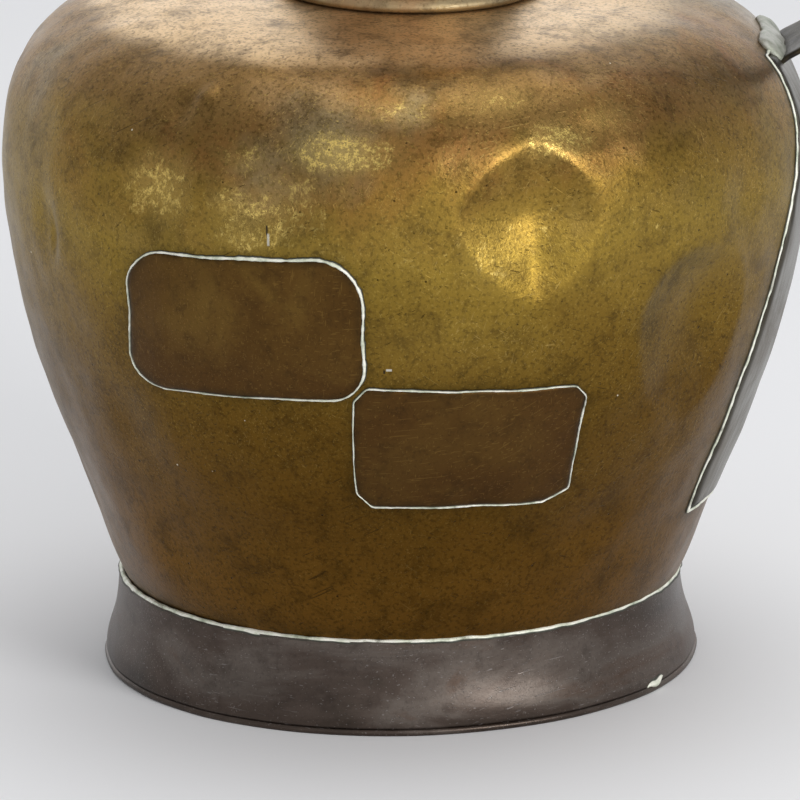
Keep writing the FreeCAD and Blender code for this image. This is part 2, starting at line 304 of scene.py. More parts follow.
def rounded_loop(corners, radii, spacing):
    """A closed outline of straight sides with an arc at each corner, evenly spaced, counter-clockwise."""
    corners = np.asarray(corners, float)
    points = []
    for i, radius in enumerate(radii):
        here, before, after = corners[i], corners[i - 1], corners[(i + 1) % len(corners)]
        back = (before - here) / np.linalg.norm(before - here)
        on = (after - here) / np.linalg.norm(after - here)
        half = math.acos(np.clip(back @ on, -1, 1)) / 2
        reach = radius / math.tan(half)
        middle = here + (back + on) / np.linalg.norm(back + on) * radius / math.sin(half)
        start = here + back * reach - middle
        end = here + on * reach - middle
        for t in np.linspace(0, 1, 9):
            spoke = (1 - t) * start + t * end
            points.append(middle + spoke / np.linalg.norm(spoke) * radius)
    points = np.array(points + points[:1])
    x, z = points.T
    if np.sum(x[:-1] * z[1:] - x[1:] * z[:-1]) < 0:
        points = points[::-1]
    length = np.linalg.norm(np.diff(points, axis=0), axis=1).sum()
    return evenly(points, int(length / spacing) + 1)[:-1]


def near_loop(places, loop):
    """Distance from each place to the nearest point of an outline."""
    flat = places.reshape(-1, 2)
    nearest = [np.linalg.norm(loop - place, axis=1).min() for place in flat]
    return np.array(nearest).reshape(places.shape[:-1])


def front_angle(x, height):
    return np.arcsin(np.clip(x / body_radius_at(height), -1, 1))


def side_angle(y, height):
    return math.pi / 2 + np.arcsin(np.clip(y / body_radius_at(height), -1, 1))


def sheet_grid(loop, across, climb):
    """A grid of places inside an outline, and how far each of them is from the outline."""
    places = four_sided_grid(loop, across, climb)
    edge = near_loop(places, loop)
    edge[[0, -1], :] = 0
    edge[:, [0, -1]] = 0
    return places, edge


def rounded_edge(edge, width, least):
    """The share of a sheet's thickness near its edge, from the least one up to 1 in a quarter round."""
    share = np.clip(edge / width, 0, 1)
    return least + (1 - least) * np.sqrt(1 - (1 - share) ** 2)


def closed_sheet(name, node, slot, material, top, under, rim):
    """A closed sheet between two grids of points, with a skirt round its edge."""
    climb, across = rim.shape
    size = across * climb
    faces = grid_faces(climb, across, False, False)
    ring = np.concatenate([
        np.arange(across), np.arange(1, climb) * across + across - 1,
        (climb - 1) * across + np.arange(across - 2, -1, -1), np.arange(climb - 2, 0, -1) * across,
    ])
    on = np.roll(ring, -1)
    skirt = np.stack([ring, ring + size, on + size, on], axis=1)
    faces = np.concatenate([faces, faces[:, ::-1] + size, skirt])
    points = lean(np.concatenate([top.reshape(-1, 3), under.reshape(-1, 3)]))
    return make_piece(name, node, slot, material, points, faces, rim=np.tile(rim.ravel(), 2))


def sheet_piece(name, node, slot, material, loop, to_angle, thickness, crown, across, climb, lumps=0.0):
    """A sheet that follows the body inside an outline, with rounded edges and a closed underside."""
    places, edge = sheet_grid(loop, across, climb)
    side, height = places[..., 0], places[..., 1]
    lift = thickness * rounded_edge(edge, 1.2 * thickness, 0.35) + crown * np.clip(edge / (14 * mm), 0, 1)
    flat = np.concatenate([places, 0 * places[..., :1]], axis=-1)
    lift = lift + lumps * waves(flat, 0.020, 0.007, 12, 64) * np.clip(edge / thickness, 0, 1)
    top = on_body(to_angle(side, height), height, lift)
    under = on_body(to_angle(side, height), height, np.full(lift.shape, -0.2 * mm))
    rim = np.clip(1 - edge / (4 * mm), 0, 1)
    return closed_sheet(name, node, slot, material, top, under, rim)


# Across a bead: share of its half-width, share of its height, and how much it is dark oxide film
bead_section = np.array([
    (-1.00, 0.04, 1.0), (-0.66, 0.10, 0.9), (-0.56, 0.45, 0.2), (-0.36, 0.85, 0.0), (0.00, 1.00, 0.0),
    (0.36, 0.85, 0.0), (0.56, 0.45, 0.2), (0.66, 0.10, 0.9), (1.00, 0.04, 1.0), (0.70, -0.60, 1.0),
    (0.00, -0.80, 1.0), (-0.70, -0.60, 1.0),
])
bead_waist = 0.62  # the share of a bead's half-width that its bright part takes up


def end_caps(count, rows):
    """Quads that close both ends of a tube that has rows of count points."""
    first = np.arange(count // 2 - 1)
    last = count - 1 - first
    cap = np.stack([first, first + 1, last - 1, last], axis=1)
    return [cap[:, ::-1], cap + (rows - 1) * count]


def bead(name, node, material, path, normal, width, height, closed=True, leaned=True):
    """A run of solder: a low rounded bead along a path, of uneven width and height, with oxide edges."""
    if closed:
        along = np.roll(path, -1, axis=0) - np.roll(path, 1, axis=0)
    else:
        along = np.gradient(path, axis=0)
    side = unit(np.cross(unit(along), normal))
    half = (width / 2 / bead_waist)[:, None] * bead_section[None, :, 0]
    rise = height[:, None] * bead_section[None, :, 1]
    points = path[:, None] + half[..., None] * side[:, None] + rise[..., None] * normal[:, None]
    count = len(bead_section)
    faces = grid_faces(len(path), count, closed, True)
    if not closed:
        faces = np.concatenate([faces] + end_caps(count, len(path)))
    film = np.broadcast_to(bead_section[None, :, 2], rise.shape)
    return make_piece(name, node, "solder", material, lean(points) if leaned else points, faces, film=film)


full_phase = 6.28  # a whole turn of phase, near enough


def uneven(count, strength, seed):
    """A closed run of random factors about 1, for the width or height of a bead."""
    draw = np.random.default_rng(seed)
    turn = np.linspace(0, 2 * math.pi, count, endpoint=False)
    total = np.zeros(count)
    for waves_round in (3, 7, 11, 17, 23, 37, 53, 71, 97):
        total += np.sin(waves_round * turn + draw.random() * full_phase) * draw.uniform(0.6, 1.2)
    return np.clip(1 + strength * total / 3.5, 0.45, 1.9)


# ---------------------------------------------------------------- materials
def rgb(red, green, blue):
    """A linear colour from the usual 0 to 255 numbers."""
    linear = []
    for level in (red, green, blue):
        c = level / 255
        linear.append(c / 12.92 if c <= 0.04045 else ((c + 0.055) / 1.055) ** 2.4)
    return (*linear, 1.0)


class Paint:
    """Adds nodes to one material and links them."""

    def __init__(self, name):
        self.material = bpy.data.materials.new(name)
        self.material.use_nodes = True
        self.tree = self.material.node_tree
        self.shader = self.tree.nodes["Principled BSDF"]
        self.place = self.add("ShaderNodeTexCoord").outputs["Object"]

    def add(self, kind, **settings):
        node = self.tree.nodes.new(kind)
        for key, value in settings.items():
            setattr(node, key, value)
        return node

    def feed(self, socket, value):
        if isinstance(value, bpy.types.NodeSocket):
            self.tree.links.new(value, socket)
        else:
            socket.default_value = value

    def math(self, operation, a, b=0.0, clamp=False):
        node = self.add("ShaderNodeMath", operation=operation, use_clamp=clamp)
        self.feed(node.inputs[0], a)
        self.feed(node.inputs[1], b)
        return node.outputs[0]

    def noise(self, scale, detail=3.0, rough=0.5, place=None, warp=0.0):
        node = self.add("ShaderNodeTexNoise")
        self.feed(node.inputs["Vector"], place or self.place)
        node.inputs["Scale"].default_value = scale
        node.inputs["Detail"].default_value = detail
        node.inputs["Roughness"].default_value = rough
        node.inputs["Distortion"].default_value = warp
        return node.outputs["Fac"]

    def stretched(self, scale, turn):
        """Places stretched along one direction, for streaks and scratches."""
        node = self.add("ShaderNodeMapping", vector_type="TEXTURE")
        self.feed(node.inputs["Vector"], self.place)
        node.inputs["Rotation"].default_value = [math.radians(a) for a in turn]
        node.inputs["Scale"].default_value = [1 / density for density in scale]
        return node.outputs["Vector"]

    def along(self, axis):
        """A place's distance along one axis of the frame: 0 for x, 1 for y, 2 for z."""
        split = self.add("ShaderNodeSeparateXYZ")
        self.feed(split.inputs[0], self.place)
        return split.outputs[axis]

    def window(self, value, low, high, to_low=0.0, to_high=1.0, curve="SMOOTHSTEP"):
        """The value taken from one range to another, and held at its ends."""
        node = self.add("ShaderNodeMapRange", interpolation_type=curve)
        self.feed(node.inputs["Value"], value)
        for key, number in zip(("From Min", "From Max", "To Min", "To Max"), (low, high, to_low, to_high)):
            self.feed(node.inputs[key], number)
        return node.outputs["Result"]

    def mix(self, share, a, b, blend="MIX"):
        node = self.add("ShaderNodeMix", data_type="RGBA", blend_type=blend)
        self.feed(node.inputs[0], share)
        self.feed(node.inputs[6], a)
        self.feed(node.inputs[7], b)
        return node.outputs[2]

    def tint(self, colour, mask, share, tone):
        """The colour taken towards another one by a share of a mask."""
        return self.mix(self.math("MULTIPLY", mask, share), colour, rgb(*tone))

    def stain(self, colour, texture, low, high, share, tone):
        """The colour taken towards another one where a texture lies above a range."""
        return self.mix(self.window(texture, low, high, 0.0, share), colour, rgb(*tone))

    def total(self, *parts):
        """The sum of values, each times its own weight."""
        result = 0.0
        for value, weight in parts:
            result = self.math("ADD", self.math("MULTIPLY", value, weight), result)
        return result

    def ramp(self, value, stops):
        """A colour for each value, from stops of a position and a colour."""
        node = self.add("ShaderNodeValToRGB")
        self.feed(node.inputs[0], value)
        elements = node.color_ramp.elements
        while len(elements) < len(stops):
            elements.new(0.5)
        for element, (position, colour) in zip(elements, stops):
            element.position = position
            element.color = rgb(*colour)
        return node.outputs[0]

    def attribute(self, name):
        return self.add("ShaderNodeAttribute", attribute_name=name).outputs["Fac"]

    def scratches(self, sets):
        """Fine straight scratches, 0 to 1; a set is (lines and lengths per metre, turn, threshold)."""
        total = None
        for (fine, long), turn, threshold in sets:
            lines = self.noise(1.0, 1.0, 0.4, self.stretched((fine, fine, long), turn))
            thin = self.window(lines, threshold, threshold + 0.05)
            total = thin if total is None else self.math("MAXIMUM", total, thin)
        return total

    def flecks(self, scale, size, rarity):
        """Small separate marks: one in each chosen cell of a random pattern."""
        node = self.add("ShaderNodeTexVoronoi")
        self.feed(node.inputs["Vector"], self.place)
        node.inputs["Scale"].default_value = scale
        dot = self.window(node.outputs["Distance"], size, size * 0.5)
        split = self.add("ShaderNodeSeparateColor")
        self.feed(split.inputs[0], node.outputs["Color"])
        chosen = self.math("GREATER_THAN", split.outputs[0], rarity)
        return self.math("MULTIPLY", dot, chosen)

    def mark(self, x, z, half_width, half_height):
        """One small soft-edged mark on the jug's front, with its sizes in mm."""
        total = self.math("LESS_THAN", self.along(1), 0.0)
        for axis, middle, half in ((0, x, half_width), (2, z, half_height)):
            away = self.math("ABSOLUTE", self.math("SUBTRACT", self.along(axis), middle * mm))
            total = self.math("MULTIPLY", total, self.window(away, 1.15 * half * mm, 0.85 * half * mm))
        return total

    def finish(self, colour, roughness, metallic=1.0, height=None, depth=0.0004):
        self.feed(self.shader.inputs["Base Color"], colour)
        self.feed(self.shader.inputs["Roughness"], roughness)
        self.feed(self.shader.inputs["Metallic"], metallic)
        if height is not None:
            bump = self.add("ShaderNodeBump")
            bump.inputs["Strength"].default_value = 1.0
            bump.inputs["Distance"].default_value = depth
            self.feed(bump.inputs["Height"], height)
            self.tree.links.new(bump.outputs[0], self.shader.inputs["Normal"])
        return self.material


long_scratches = [
    ((1500, 28), (0, 35, 20), 0.70), ((1700, 22), (10, -52, 0), 0.71), ((1500, 34), (-15, 86, 10), 0.71),
    ((1600, 26), (20, 5, 40), 0.72), ((1500, 30), (-10, -24, -30), 0.72),
]
hair_scratches = [
    ((1900, 110), (0, 32, 10), 0.56), ((2100, 120), (0, -40, -10), 0.57), ((1900, 100), (10, 78, 0), 0.58),
    ((2100, 110), (-10, -8, 20), 0.58),
]


# Single marks on the front: place across and height in mm, half-sizes in mm, colour
front_marks = [
    (-48.9, 212.5, 0.35, 1.7, (70, 60, 44)),
    (-48.4, 209.2, 0.45, 2.1, (214, 208, 190)),
    (-3.0, 158.0, 1.1, 0.45, (206, 202, 188)),
    (-4.8, 157.2, 0.4, 0.7, (60, 50, 34)),
    (-13.0, 178.5, 0.8, 0.5, (190, 186, 172)),
]


def body_material():
    """Browned brass: copper-brown on the shoulder, scratched gold and olive in the middle, dark below,
    partly as patina and partly as painted shade.
    """
    p = Paint("aged_brass_body")
    climb = p.window(p.along(2), foot_height, neck_base, curve="LINEAR")
    broad = p.noise(9.0, 4.0, 0.55, warp=0.4)
    patchy = p.noise(26.0, 6.0, 0.62, warp=0.6)
    level = p.math("ADD", climb, p.math("MULTIPLY", p.math("SUBTRACT", broad, 0.5), 0.30))
    level = p.math("ADD", level, p.math("MULTIPLY", p.math("SUBTRACT", patchy, 0.5), 0.18))
    # the darkening towards the bottom is partly brown patina and partly painted shade, standing in for a
    # dark reflection below
    colour = p.ramp(level, [
        (0.02, (114, 80, 30)), (0.22, (102, 72, 25)), (0.40, (103, 76, 27)), (0.56, (122, 95, 35)),
        (0.70, (138, 112, 42)), (0.82, (138, 108, 46)), (0.89, (136, 104, 58)), (0.95, (138, 106, 62)),
        (1.00, (158, 126, 84)),
    ])
    # rust-red and grey-brown clouds on the shoulder, and a painted pale reflection close to the collar
    high = p.window(level, 0.66, 0.94)
    rust = p.window(p.noise(17.0, 7.0, 0.65, warp=0.8), 0.50, 0.68)
    colour = p.tint(colour, rust, p.math("MULTIPLY", high, 0.5), (140, 88, 46))
    grey = p.window(p.noise(13.0, 5.0, 0.6, place=p.stretched((1, 1, 1), (40, 20, 70))), 0.46, 0.64)
    colour = p.tint(colour, grey, p.math("MULTIPLY", high, 0.7), (122, 112, 88))
    # painted reflection: a pale band on the shoulder just below the collar
    colour = p.stain(colour, climb, 0.968, 0.988, 0.85, (226, 194, 150))
    # dark tarnish mottling, fine grain and sparkle everywhere
    mottle = p.noise(80.0, 8.0, 0.72, warp=0.3)
    colour = p.stain(colour, mottle, 0.45, 0.70, 0.62, (66, 46, 16))
    fine = p.noise(650.0, 3.0, 0.6)
    colour = p.stain(colour, fine, 0.48, 0.68, 0.55, (58, 41, 15))
    bright = p.noise(1100.0, 2.0, 0.6, place=p.stretched((1, 1, 1), (20, 60, 10)))
    sparkle = p.window(bright, 0.55, 0.78)
    colour = p.tint(colour, sparkle, p.window(level, 0.15, 0.75, 0.10, 0.40), (196, 168, 88))
    # ragged patches rubbed to gold, scored by fine strokes
    rubbed = p.attribute("rubbed")
    hair = p.scratches(hair_scratches)
    ragged = p.math("SUBTRACT", p.noise(130.0, 6.0, 0.68, warp=0.6), 0.5)
    worn = p.window(p.math("ADD", rubbed, p.math("MULTIPLY", ragged, 2.2)), 0.35, 1.05)
    grit = p.window(p.noise(420.0, 4.0, 0.7), 0.42, 0.62)
    strokes = p.math("MULTIPLY", p.math("MAXIMUM", hair, p.window(bright, 0.44, 0.62)), grit)
    gold = p.math("MULTIPLY", worn, p.math("ADD", p.math("MULTIPLY", strokes, 0.85), 0.26))
    gold = p.math("MAXIMUM", gold, p.math("MULTIPLY", rubbed, 0.24))
    colour = p.mix(gold, colour, rgb(226, 196, 112))
    # long thin scratches, pale nicks, dark pits and the single marks
    lines = p.math("MULTIPLY", p.scratches(long_scratches), p.window(patchy, 0.42, 0.60))
    lines = p.math("MULTIPLY", lines, p.window(level, 0.20, 0.80, 0.30, 1.0))
    colour = p.tint(colour, lines, 0.40, (200, 170, 100))
    dark_lines = p.scratches([((1300, 30), (5, 62, -20), 0.72), ((1300, 26), (0, -70, 30), 0.72)])
    colour = p.tint(colour, dark_lines, 0.55, (44, 32, 14))
    colour = p.mix(p.flecks(70.0, 0.035, 0.86), colour, rgb(236, 228, 206))
    pits = p.flecks(170.0, 0.10, 0.80)
    colour = p.tint(colour, pits, 0.75, (34, 25, 12))
    for x, z, half_width, half_height, tone in front_marks:
        colour = p.mix(p.mark(x, z, half_width, half_height), colour, rgb(*tone))
    # dirt beside solder and joints, and painted shade, partly tarnish, on the upper edges of some dents
    dirt = p.math("MULTIPLY", p.attribute("dirt"), p.window(p.noise(90.0, 5.0, 0.6), 0.25, 0.55))
    colour = p.tint(colour, dirt, 0.7, (46, 38, 18))
    rough = p.total((p.window(patchy, 0.35, 0.65, 0.28, 0.36), 1.0), (mottle, 0.10), (gold, -0.06))
    height = p.total((fine, 0.7), (mottle, 0.8), (lines, -0.5), (dark_lines, -0.5),
                     (p.math("MULTIPLY", hair, rubbed), -0.35), (pits, -0.9))
    return p.finish(colour, rough, 1.0, height, 0.00016)


def patch_material():
    """Dull red-brown brass sheet with fine scratches, redder where it sits low on the jug."""
    p = Paint("browned_patch")
    cloud = p.noise(24.0, 6.0, 0.62, warp=0.5)
    colour = p.ramp(cloud, [(0.28, (76, 52, 20)), (0.50, (92, 66, 27)), (0.72, (110, 84, 36))])
    low = p.window(p.along(2), 0.9 * body_radius, 1.1 * body_radius, 0.45, 0.0)
    colour = p.mix(low, colour, rgb(68, 42, 18))
    mottle = p.noise(110.0, 8.0, 0.7)
    colour = p.stain(colour, mottle, 0.48, 0.72, 0.5, (52, 34, 14))
    fine = p.noise(700.0, 3.0, 0.6)
    colour = p.stain(colour, fine, 0.52, 0.74, 0.4, (48, 32, 14))
    lines = p.scratches([
        ((1700, 50), (0, 86, 0), 0.67), ((1900, 60), (0, 60, 10), 0.69), ((1700, 50), (0, 5, 0), 0.69),
    ])
    colour = p.tint(colour, lines, 0.16, (170, 134, 66))
    colour = p.tint(colour, p.flecks(190.0, 0.08, 0.86), 0.7, (30, 22, 12))
    rim = p.math("MULTIPLY", p.attribute("rim"), p.window(p.noise(140.0, 4.0), 0.30, 0.60))
    colour = p.tint(colour, rim, 0.7, (44, 32, 16))
    rough = p.window(cloud, 0.35, 0.65, 0.36, 0.44)
    return p.finish(colour, rough, 0.9, p.total((mottle, 1.0), (fine, 0.6), (lines, -0.2)), 0.00014)


def foot_material():
    """Old tin over copper: grey-brown clouds and darker stains."""
    p = Paint("old_tinned_foot")
    cloud = p.noise(14.0, 6.0, 0.6, p.stretched((1, 1, 3.0), (0, 0, 0)), warp=0.5)
    colour = p.ramp(cloud, [
        (0.30, (62, 54, 47)), (0.46, (82, 71, 64)), (0.58, (102, 93, 86)), (0.74, (88, 67, 54)),
    ])
    mottle = p.noise(95.0, 8.0, 0.7)
    colour = p.stain(colour, mottle, 0.48, 0.74, 0.5, (48, 40, 36))
    colour = p.stain(colour, p.noise(800.0, 3.0, 0.6), 0.52, 0.74, 0.35, (54, 48, 44))
    lines = p.scratches([((1500, 24), (0, 86, 30), 0.69), ((1500, 24), (0, 92, -30), 0.69)])
    colour = p.tint(colour, lines, 0.25, (178, 172, 168))
    colour = p.tint(colour, p.flecks(60.0, 0.06, 0.84), 0.8, (190, 200, 186))
    rough = p.window(cloud, 0.35, 0.65, 0.31, 0.41)
    return p.finish(colour, rough, 0.9, p.total((mottle, 1.0), (lines, -0.4)), 0.00018)


def plate_material():
    """Tinned plate brushed along its length, with brown clouds and painted shade along its edges."""
    p = Paint("brushed_plate")
    brushed = p.noise(1.0, 5.0, 0.65, p.stretched((2, 700, 9), (0, 0, 0)))
    colour = p.ramp(brushed, [(0.30, (106, 102, 94)), (0.50, (126, 123, 116)), (0.70, (144, 142, 136))])
    cloud = p.noise(24.0, 6.0, 0.65, warp=0.5)
    colour = p.stain(colour, cloud, 0.46, 0.66, 0.65, (94, 84, 70))
    # painted shade along the plate's edges
    colour = p.tint(colour, p.attribute("rim"), 0.85, (48, 44, 36))
    return p.finish(colour, p.window(cloud, 0.35, 0.65, 0.34, 0.44), 0.95, brushed, 0.00012)


def strap_material():
    """Near-black metal, rubbed to olive brass along its edges."""
    p = Paint("black_strap")
    cloud = p.noise(40.0, 6.0, 0.65, warp=0.4)
    colour = p.ramp(cloud, [(0.32, (30, 28, 26)), (0.52, (46, 43, 39)), (0.72, (64, 57, 46))])
    rubbed = p.math("MULTIPLY", p.attribute("rim"), p.window(p.noise(60.0, 5.0), 0.35, 0.60))
    colour = p.tint(colour, rubbed, 0.7, (112, 98, 62))
    rough = p.window(cloud, 0.35, 0.65, 0.38, 0.52)
    return p.finish(colour, rough, 0.85, p.noise(150.0, 6.0, 0.7), 0.00025)


def solder_material(name, tone):
    """Soft solder: dull white metal with mint and cream oxide, dark green-black along its edges."""
    p = Paint(name)
    cloud = p.noise(120.0, 5.0, 0.6)
    colour = p.ramp(cloud, [
        (0.30, (160 * tone, 168 * tone, 146 * tone)),
        (0.44, (218 * tone, 222 * tone, 202 * tone)),
        (0.58, (248 * tone, 246 * tone, 234 * tone)),
        (0.74, (204 * tone, 212 * tone, 186 * tone)),
    ])
    dark_spots = p.window(p.noise(75.0, 7.0, 0.7, warp=0.5), 0.56, 0.70)
    colour = p.tint(colour, dark_spots, 0.7, (92, 90, 66))
    colour = p.tint(colour, p.window(p.attribute("film"), 0.15, 0.75), 0.95, (36, 36, 22))
    return p.finish(colour, 0.46, 0.25, p.total((cloud, 1.0), (p.noise(600.0, 4.0, 0.6), 1.0)), 0.00025)


def neck_material():
    """Pale copper-brown patina on the neck, rubbed to gold round the rim."""
    p = Paint("copper_brown_neck")
    broad = p.noise(16.0, 5.0, 0.6, warp=0.5)
    colour = p.ramp(broad, [
        (0.28, (150, 138, 112)), (0.46, (172, 152, 116)), (0.62, (178, 142, 104)), (0.78, (158, 136, 94)),
    ])
    mottle = p.noise(75.0, 8.0, 0.7, warp=0.3)
    colour = p.stain(colour, mottle, 0.47, 0.70, 0.5, (66, 48, 22))
    fine = p.noise(650.0, 3.0, 0.6)
    colour = p.stain(colour, fine, 0.50, 0.72, 0.4, (62, 44, 20))
    lines = p.scratches(long_scratches)
    colour = p.tint(colour, lines, 0.35, (200, 170, 106))
    colour = p.tint(colour, p.flecks(170.0, 0.10, 0.80), 0.7, (34, 25, 14))
    rubbed = p.math("MULTIPLY", p.attribute("rubbed"), p.window(p.noise(70.0, 5.0), 0.35, 0.60))
    colour = p.tint(colour, rubbed, 0.8, (190, 158, 88))
    rough = p.window(broad, 0.35, 0.65, 0.44, 0.54)
    return p.finish(colour, rough, 0.92, p.total((mottle, 1.0), (fine, 0.6), (lines, -0.4)), 0.00018)


body_metal = body_material()
patch_metal = patch_material()
foot_metal = foot_material()
plate_metal = plate_material()
strap_metal = strap_material()
solder = solder_material("pale_solder", 1.0)
grey_solder = solder_material("grey_solder", 0.74)
neck_metal = neck_material()

# Rubbed patches on the body: angle, height, half-width and half-height in mm, strength
rubbed_places = [
    (-37.5, 221.0, 18, 14, 1.1),
    (-9.7, 242.0, 20, 7, 1.6),
    (-24.0, 238.0, 12, 6, 0.7),
    (22.7, 246.0, 16, 7, 1.0),
    (12.0, 205.0, 24, 20, 0.50),
    (-22.0, 208.0, 18, 5, 1.0),
    (-20.0, 216.0, 28, 14, 0.8),
    (-16.0, 228.0, 24, 12, 0.5),
    (0.0, 205.0, 30, 18, 0.35),
    (34.0, 214.0, 26, 22, 0.4),
    (5.0, 172.0, 60, 24, 0.25),
    (-2.0, 256.0, 22, 6, 0.55),
    (14.0, 259.0, 20, 5, 0.60),
    (31.0, 252.0, 16, 7, 0.50),
    (-52.0, 244.0, 20, 6, 0.40),
    (128.0, 205.0, 26, 22, 0.8),
    (176.0, 182.0, 30, 20, 0.7),
    (205.0, 216.0, 22, 18, 0.9),
    (246.0, 228.0, 20, 16, 0.8),
]


# ---------------------------------------------------------------- the body
def left_patch_loop():
    """The rounded patch's outline as (x, height) points; its corners are shares of the body's sizes."""
    corners = np.array([(-0.675, 0.670), (-0.112, 0.700), (-0.094, 0.456), (-0.656, 0.433)])
    corners = corners * (body_radius, body_height) + (0, foot_height)
    return rounded_loop(corners, [15 * mm, 18 * mm, 13 * mm, 15 * mm], 1.0 * mm)


def right_patch_loop():
    """The outline of the patch with cut corners, in the same way."""
    corners = np.array([
        (-0.091, 0.477), (0.412, 0.468), (0.438, 0.447), (0.416, 0.351), (0.400, 0.279), (0.338, 0.258),
        (-0.075, 0.260), (-0.112, 0.284), (-0.122, 0.342), (-0.122, 0.452),
    ])
    corners = corners * (body_radius, body_height) + (0, foot_height)
    return rounded_loop(corners, [2.5 * mm] * len(corners), 1.0 * mm)


plate_low, plate_high = 0.48 * body_radius, neck_base - 21.5 * mm


def plate_half_width(height):
    share = (height - plate_low) / (plate_high - plate_low)
    return body_radius * (0.35 + 0.26 * share - 0.42 * share * share)


def plate_loop(margin):
    """The back plate's outline as (y, height) points, grown by a margin."""
    heights = np.linspace(plate_low, plate_high, 60)
    widths = plate_half_width(heights) + margin
    heights = heights + margin * np.linspace(-1, 1, len(heights))
    right = np.stack([widths, heights], axis=1)
    left = right[::-1] * (-1, 1)
    loop = np.concatenate([right, left, right[:1]])
    return evenly(loop, 700)[:-1]


def wobbly(loop, amount, seed):
    """An outline whose points wander a little, as hand-cut edges do."""
    spoke = unit(loop - loop.mean(axis=0))
    flat = np.concatenate([loop, np.zeros((len(loop), 1))], axis=1)
    return loop + spoke * (amount * waves(flat, 0.05, 0.015, 10, seed))[:, None]


left_loop = wobbly(left_patch_loop(), 0.4 * mm, 21)
right_loop = wobbly(right_patch_loop(), 0.3 * mm, 22)


def rubbed_share(angle, height):
    """How much the body is rubbed to gold: the rubbed places, and a faint band round the belly."""
    rubbed = 0.30 * np.exp(-(((height - 208 * mm) / (34 * mm)) ** 2))
    for centre, middle, wide, tall, strength in rubbed_places:
        across = turn_from(angle, math.radians(centre)) * body_radius
        away = (across / (wide * mm)) ** 2 + ((height - middle * mm) / (tall * mm)) ** 2
        rubbed = np.maximum(rubbed, strength * np.exp(-away))
    return rubbed


def dirt_near(places, chosen, loop, reach):
    """Dirt beside an outline, worked out only at the chosen places, which lie on the outline's side."""
    close = np.zeros(chosen.shape)
    close[chosen] = np.exp(-near_loop(places[chosen], loop) / reach)
    return close


def shade_and_tarnish_in(dent, angle, height, towards):
    """Painted shade, partly tarnish, along the part of a dent's edge that lies towards one direction."""
    across = turn_from(angle, math.radians(dent.angle)) * body_radius
    rise = height - dent.height * mm
    facing = (across * towards[0] + rise * towards[1]) / np.hypot(across, rise + 0.01 * mm)
    edge = np.exp(-(((from_centre(angle, height, dent) - 0.80) / 0.22) ** 2))
    return edge * np.clip(facing, 0, 1)


def dirt_share(angle, radius, height):
    """How dirty the body is near the foot and beside the patches and the plate, with painted shade, partly
    tarnish, on the upper edges of some dents.
    """
    dirt = np.exp(-(np.abs(height - foot_height) / (5 * mm)) ** 1.5) * 0.4
    places = np.stack([radius * np.sin(angle), height], axis=-1)
    front = (np.cos(angle) > 0) & (np.abs(height - 150 * mm) < 80 * mm)
    for loop in (left_loop, right_loop):
        dirt = np.maximum(dirt, dirt_near(places, front, loop[::3], 2.2 * mm))
    places = np.stack([-radius * np.cos(angle), height], axis=-1)
    dirt = np.maximum(dirt, dirt_near(places, np.sin(angle) > 0.5, plate_loop(1.3 * mm)[::4], 3 * mm))
    # painted shade, partly tarnish, on the upper edges of the listed dents
    for index, towards, strength in dent_shade_and_tarnish:
        dirt = np.maximum(dirt, strength * shade_and_tarnish_in(dents[index], angle, height, towards))
    return dirt


def build_body():
    rows, normals, offsets = shell_rows(body_curve, 150, 26, wall)
    angle, radius, height = turned_grid(rows, 512)
    off = offsets[:, None] + beaten(angle, height, around(angle, radius, height))
    points = around(angle, radius + normals[:, :1] * off, height + normals[:, 1:] * off)
    faces = grid_faces(*angle.shape, True, True)
    make_piece("body", "body_shell", "body_metal", body_metal, lean(points), faces,
               rubbed=rubbed_share(angle, height), dirt=dirt_share(angle, radius, height))


build_body()
sheet_piece("left_patch", "patch_left", "patch_metal", patch_metal, left_loop, front_angle,
            patch_sheet, 0.5 * mm, 76, 52)
sheet_piece("right_patch", "patch_right", "patch_metal", patch_metal, right_loop, front_angle,
            patch_sheet, 0.3 * mm, 76, 44)


def solder_line(name, node, loop, to_angle, rest, width, height, wander, seed):
    """A bead of solder on the body along a closed outline, wandering in width and in height."""
    path, normal = path_on_body(to_angle(loop[:, 0], loop[:, 1]), loop[:, 1], rest)
    width = width * uneven(len(loop), wander[0], seed)
    height = height * uneven(len(loop), wander[1], seed + 1)
    bead(name, node, solder, path, normal, width, height)


# the left patch's solder is heavy along its top and right side
toward = (left_loop - left_loop.mean(axis=0)) / np.ptp(left_loop, axis=0)
heavy = np.clip(0.5 + 1.1 * (toward[:, 0] + toward[:, 1]), 0, 1)
solder_line("left_patch_solder", "patch_left_solder", left_loop, front_angle, 0.25 * mm,
            mm * (0.5 + 0.75 * heavy), 1.0 * mm, (0.35, 0.2), 31)
solder_line("right_patch_solder", "patch_right_solder", right_loop, front_angle, 0.25 * mm,
            0.6 * mm, 0.9 * mm, (0.35, 0.2), 35)


# ---------------------------------------------------------------- the foot
def turned_piece(name, node, slot, material, loop, ripple, count, lengths, seed, reshape=None,
                 leaned=False, **attributes):
    """A closed section of (radius, height) points turned round the axis, slightly uneven."""
    angle, radius, height = turned_grid(loop, count)
    if reshape:
        radius = reshape(angle, radius, height)
    radius = radius + ripple * waves(around(angle, radius, height), *lengths, 16, seed)
    points = around(angle, radius, height)
    faces = grid_faces(len(loop), count, True, True)
    wide = {key: np.broadcast_to(values[:, None], angle.shape) for key, values in attributes.items()}
    make_piece(name, node, slot, material, lean(points) if leaned else points, faces, **wide)


def foot_piece(name, node, loop, ripple):
    turned_piece(name, node, "tinned_metal", foot_metal, loop, ripple, 384, (0.12, 0.03), 11)


